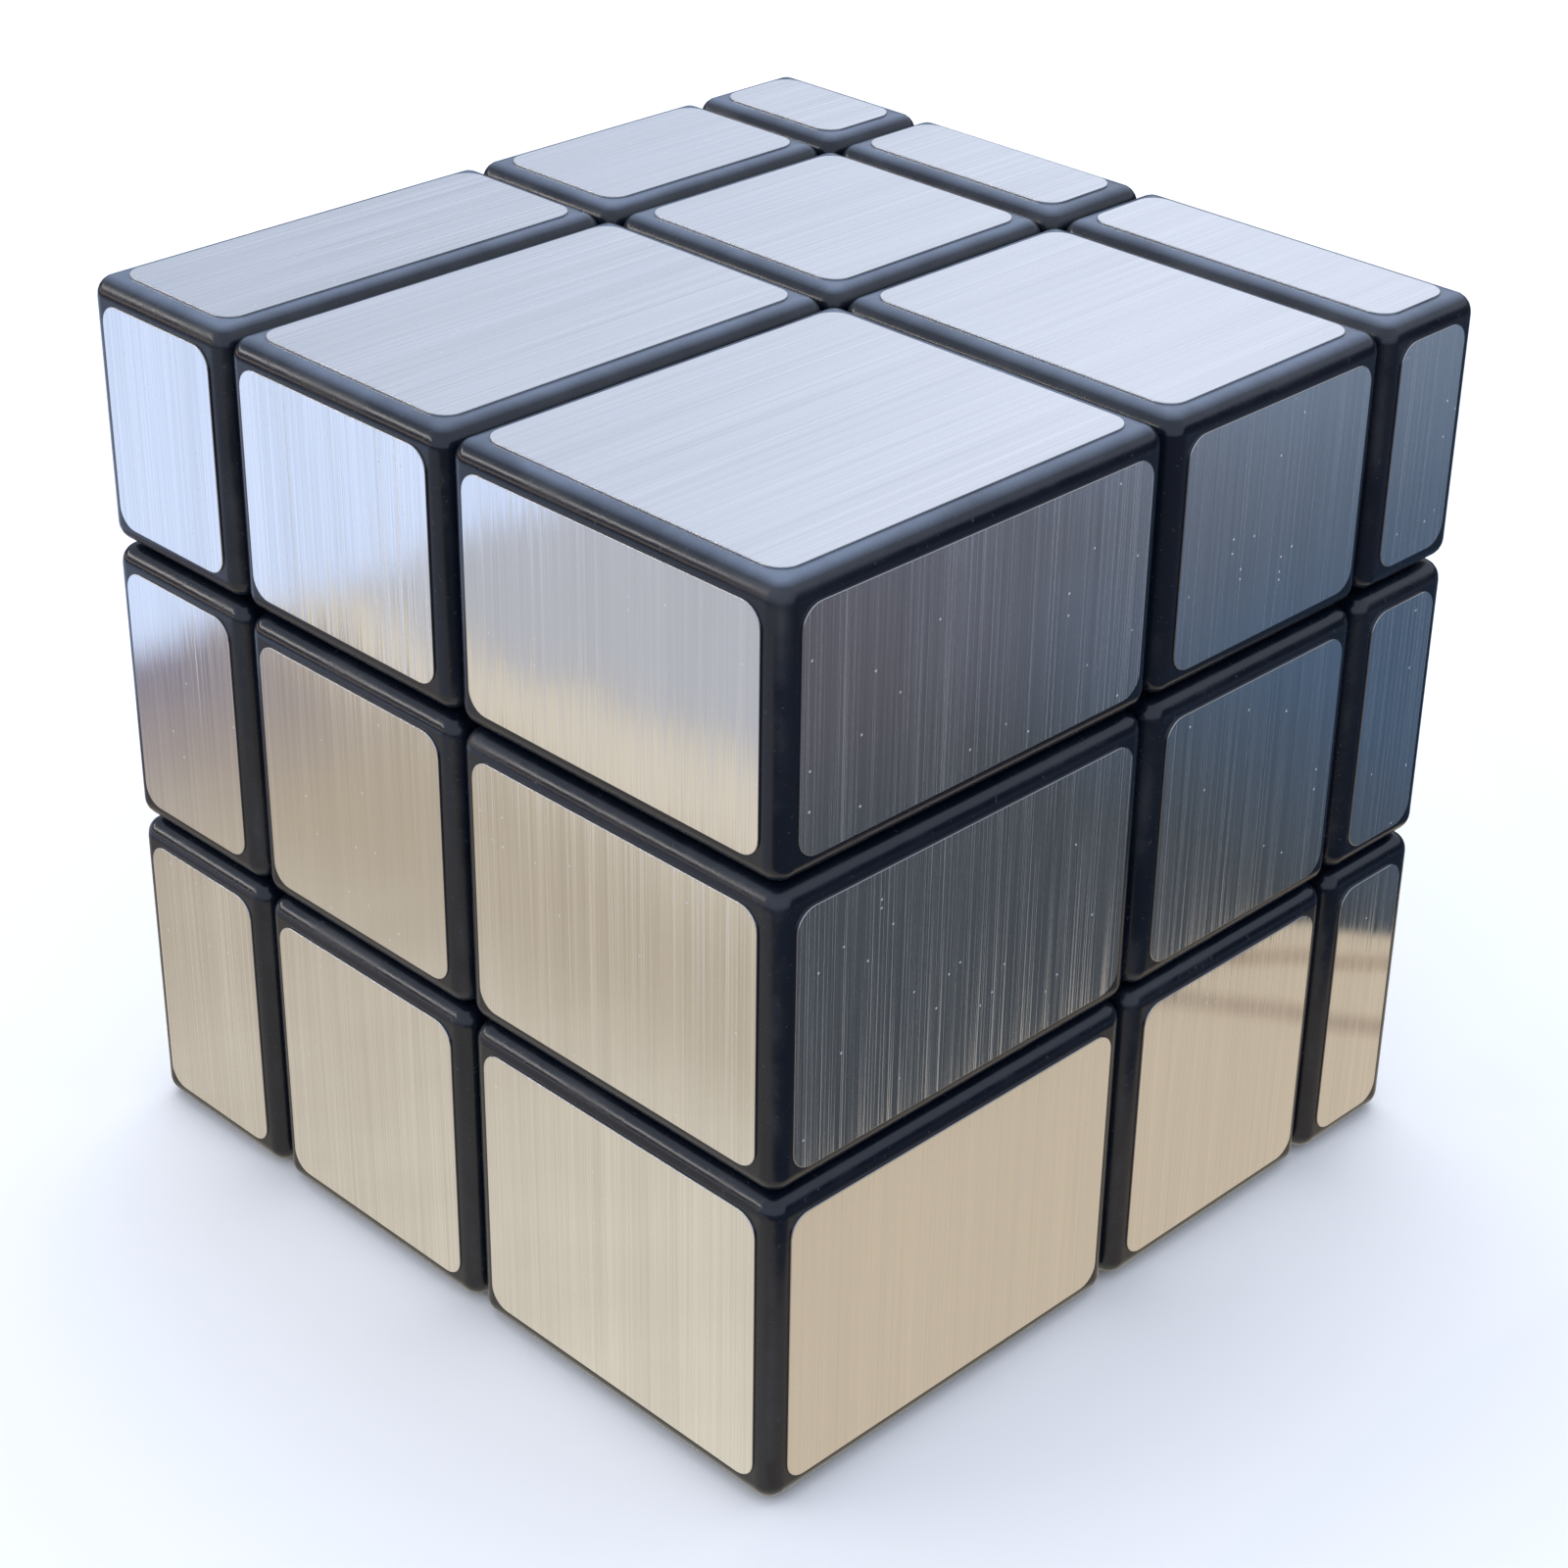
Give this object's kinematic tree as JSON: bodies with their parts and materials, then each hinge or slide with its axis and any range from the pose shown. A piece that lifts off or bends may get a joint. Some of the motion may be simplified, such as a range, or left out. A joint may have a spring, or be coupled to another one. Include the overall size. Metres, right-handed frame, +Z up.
{
  "type": "twisty puzzle cube",
  "caption": "Twisty puzzle cube with layers of unequal thickness, brushed silver foil on black blocks; every outer layer turns about an off-centre core.",
  "frame": {"origin": "middle of the solved cube's underside, which it rests on", "axes": "+Z up; front is -Y and right is +X, where the front and right layers are the thickest along their axes"},
  "size_m": [0.057, 0.057, 0.057],
  "materials": {
    "black_plastic": "glossy moulded plastic",
    "silver_foil": "brushed mirror foil with a straight grain",
    "inner_plastic": "moulded nylon",
    "steel": "zinc-plated"
  },
  "bodies": {
    "core": {"core": "inner_plastic", "screw_right": "steel", "washer_right": "steel", "spring_right": "steel", "screw_left": "steel", "washer_left": "steel", "spring_left": "steel", "screw_front": "steel", "washer_front": "steel", "spring_front": "steel", "screw_back": "steel", "washer_back": "steel", "spring_back": "steel", "screw_top": "steel", "washer_top": "steel", "spring_top": "steel", "screw_bottom": "steel", "washer_bottom": "steel", "spring_bottom": "steel"},
    "centre_right": {"centre_stalk_right": "inner_plastic", "centre_cap_right": "black_plastic"},
    "centre_left": {"centre_stalk_left": "inner_plastic", "centre_cap_left": "black_plastic"},
    "centre_front": {"centre_stalk_front": "inner_plastic", "centre_cap_front": "black_plastic"},
    "centre_back": {"centre_stalk_back": "inner_plastic", "centre_cap_back": "black_plastic"},
    "centre_top": {"centre_stalk_top": "inner_plastic", "centre_cap_top": "black_plastic"},
    "centre_bottom": {"centre_stalk_bottom": "inner_plastic", "centre_cap_bottom": "black_plastic"},
    "edge_back_left": {"edge_back_left": "black_plastic"},
    "edge_back_right": {"edge_back_right": "black_plastic"},
    "edge_bottom_back": {"edge_bottom_back": "black_plastic"},
    "edge_bottom_front": {"edge_bottom_front": "black_plastic"},
    "edge_bottom_left": {"edge_bottom_left": "black_plastic"},
    "edge_bottom_right": {"edge_bottom_right": "black_plastic"},
    "edge_front_left": {"edge_front_left": "black_plastic"},
    "edge_front_right": {"edge_front_right": "black_plastic"},
    "edge_top_back": {"edge_top_back": "black_plastic"},
    "edge_top_front": {"edge_top_front": "black_plastic"},
    "edge_top_left": {"edge_top_left": "black_plastic"},
    "edge_top_right": {"edge_top_right": "black_plastic"},
    "corner_bottom_back_left": {"corner_bottom_back_left": "black_plastic", "corner_lid_bottom_back_left": "black_plastic"},
    "corner_bottom_back_right": {"corner_bottom_back_right": "black_plastic", "corner_lid_bottom_back_right": "black_plastic"},
    "corner_bottom_front_left": {"corner_bottom_front_left": "black_plastic", "corner_lid_bottom_front_left": "black_plastic"},
    "corner_bottom_front_right": {"corner_bottom_front_right": "black_plastic", "corner_lid_bottom_front_right": "black_plastic"},
    "corner_top_back_left": {"corner_top_back_left": "black_plastic", "corner_lid_top_back_left": "black_plastic"},
    "corner_top_back_right": {"corner_top_back_right": "black_plastic", "corner_lid_top_back_right": "black_plastic"},
    "corner_top_front_left": {"corner_top_front_left": "black_plastic", "corner_lid_top_front_left": "black_plastic"},
    "corner_top_front_right": {"corner_top_front_right": "black_plastic", "corner_lid_top_front_right": "black_plastic"}
  },
  "joints": [
    {"name": "right_turn", "type": "hinge", "parent": "core", "child": "centre_right", "pos_m": [-0.006, 0.01, 0.0305], "axis": [1, 0, 0], "continuous": true},
    {"name": "left_turn", "type": "hinge", "parent": "core", "child": "centre_left", "pos_m": [-0.006, 0.01, 0.0305], "axis": [1, 0, 0], "continuous": true},
    {"name": "front_turn", "type": "hinge", "parent": "core", "child": "centre_front", "pos_m": [-0.006, 0.01, 0.0305], "axis": [0, 1, 0], "continuous": true},
    {"name": "back_turn", "type": "hinge", "parent": "core", "child": "centre_back", "pos_m": [-0.006, 0.01, 0.0305], "axis": [0, 1, 0], "continuous": true},
    {"name": "top_turn", "type": "hinge", "parent": "core", "child": "centre_top", "pos_m": [-0.006, 0.01, 0.0305], "axis": [0, 0, 1], "continuous": true},
    {"name": "bottom_turn", "type": "hinge", "parent": "core", "child": "centre_bottom", "pos_m": [-0.006, 0.01, 0.0305], "axis": [0, 0, 1], "continuous": true},
    {"name": "edge_back_left_turn", "type": "hinge", "parent": "centre_left", "child": "edge_back_left", "pos_m": [-0.006, 0.01, 0.0305], "axis": [0, 1, 0], "continuous": true},
    {"name": "edge_back_right_turn", "type": "hinge", "parent": "centre_right", "child": "edge_back_right", "pos_m": [-0.006, 0.01, 0.0305], "axis": [0, 1, 0], "continuous": true},
    {"name": "edge_bottom_back_turn", "type": "hinge", "parent": "centre_back", "child": "edge_bottom_back", "pos_m": [-0.006, 0.01, 0.0305], "axis": [0, 0, 1], "continuous": true},
    {"name": "edge_bottom_front_turn", "type": "hinge", "parent": "centre_front", "child": "edge_bottom_front", "pos_m": [-0.006, 0.01, 0.0305], "axis": [0, 0, 1], "continuous": true},
    {"name": "edge_bottom_left_turn", "type": "hinge", "parent": "centre_bottom", "child": "edge_bottom_left", "pos_m": [-0.006, 0.01, 0.0305], "axis": [1, 0, 0], "continuous": true},
    {"name": "edge_bottom_right_turn", "type": "hinge", "parent": "centre_bottom", "child": "edge_bottom_right", "pos_m": [-0.006, 0.01, 0.0305], "axis": [1, 0, 0], "continuous": true},
    {"name": "edge_front_left_turn", "type": "hinge", "parent": "centre_left", "child": "edge_front_left", "pos_m": [-0.006, 0.01, 0.0305], "axis": [0, 1, 0], "continuous": true},
    {"name": "edge_front_right_turn", "type": "hinge", "parent": "centre_right", "child": "edge_front_right", "pos_m": [-0.006, 0.01, 0.0305], "axis": [0, 1, 0], "continuous": true},
    {"name": "edge_top_back_turn", "type": "hinge", "parent": "centre_back", "child": "edge_top_back", "pos_m": [-0.006, 0.01, 0.0305], "axis": [0, 0, 1], "continuous": true},
    {"name": "edge_top_front_turn", "type": "hinge", "parent": "centre_front", "child": "edge_top_front", "pos_m": [-0.006, 0.01, 0.0305], "axis": [0, 0, 1], "continuous": true},
    {"name": "edge_top_left_turn", "type": "hinge", "parent": "centre_top", "child": "edge_top_left", "pos_m": [-0.006, 0.01, 0.0305], "axis": [1, 0, 0], "continuous": true},
    {"name": "edge_top_right_turn", "type": "hinge", "parent": "centre_top", "child": "edge_top_right", "pos_m": [-0.006, 0.01, 0.0305], "axis": [1, 0, 0], "continuous": true},
    {"name": "corner_bottom_back_left_turn", "type": "hinge", "parent": "edge_bottom_left", "child": "corner_bottom_back_left", "pos_m": [-0.006, 0.01, 0.0305], "axis": [0, 1, 0], "continuous": true},
    {"name": "corner_bottom_back_right_turn", "type": "hinge", "parent": "edge_bottom_right", "child": "corner_bottom_back_right", "pos_m": [-0.006, 0.01, 0.0305], "axis": [0, 1, 0], "continuous": true},
    {"name": "corner_bottom_front_left_turn", "type": "hinge", "parent": "edge_bottom_left", "child": "corner_bottom_front_left", "pos_m": [-0.006, 0.01, 0.0305], "axis": [0, 1, 0], "continuous": true},
    {"name": "corner_bottom_front_right_turn", "type": "hinge", "parent": "edge_bottom_right", "child": "corner_bottom_front_right", "pos_m": [-0.006, 0.01, 0.0305], "axis": [0, 1, 0], "continuous": true},
    {"name": "corner_top_back_left_turn", "type": "hinge", "parent": "edge_top_left", "child": "corner_top_back_left", "pos_m": [-0.006, 0.01, 0.0305], "axis": [0, 1, 0], "continuous": true},
    {"name": "corner_top_back_right_turn", "type": "hinge", "parent": "edge_top_right", "child": "corner_top_back_right", "pos_m": [-0.006, 0.01, 0.0305], "axis": [0, 1, 0], "continuous": true},
    {"name": "corner_top_front_left_turn", "type": "hinge", "parent": "edge_top_left", "child": "corner_top_front_left", "pos_m": [-0.006, 0.01, 0.0305], "axis": [0, 1, 0], "continuous": true},
    {"name": "corner_top_front_right_turn", "type": "hinge", "parent": "edge_top_right", "child": "corner_top_front_right", "pos_m": [-0.006, 0.01, 0.0305], "axis": [0, 1, 0], "continuous": true}
  ],
  "couplings": [
    {"joint": "edge_back_left_turn", "follows": "back_turn", "ratio": 1},
    {"joint": "edge_back_right_turn", "follows": "back_turn", "ratio": 1},
    {"joint": "edge_bottom_back_turn", "follows": "bottom_turn", "ratio": 1},
    {"joint": "edge_bottom_front_turn", "follows": "bottom_turn", "ratio": 1},
    {"joint": "edge_bottom_left_turn", "follows": "left_turn", "ratio": 1},
    {"joint": "edge_bottom_right_turn", "follows": "right_turn", "ratio": 1},
    {"joint": "edge_front_left_turn", "follows": "front_turn", "ratio": 1},
    {"joint": "edge_front_right_turn", "follows": "front_turn", "ratio": 1},
    {"joint": "edge_top_back_turn", "follows": "top_turn", "ratio": 1},
    {"joint": "edge_top_front_turn", "follows": "top_turn", "ratio": 1},
    {"joint": "edge_top_left_turn", "follows": "left_turn", "ratio": 1},
    {"joint": "edge_top_right_turn", "follows": "right_turn", "ratio": 1},
    {"joint": "corner_bottom_back_left_turn", "follows": "back_turn", "ratio": 1},
    {"joint": "corner_bottom_back_right_turn", "follows": "back_turn", "ratio": 1},
    {"joint": "corner_bottom_front_left_turn", "follows": "front_turn", "ratio": 1},
    {"joint": "corner_bottom_front_right_turn", "follows": "front_turn", "ratio": 1},
    {"joint": "corner_top_back_left_turn", "follows": "back_turn", "ratio": 1},
    {"joint": "corner_top_back_right_turn", "follows": "back_turn", "ratio": 1},
    {"joint": "corner_top_front_left_turn", "follows": "front_turn", "ratio": 1},
    {"joint": "corner_top_front_right_turn", "follows": "front_turn", "ratio": 1}
  ]
}
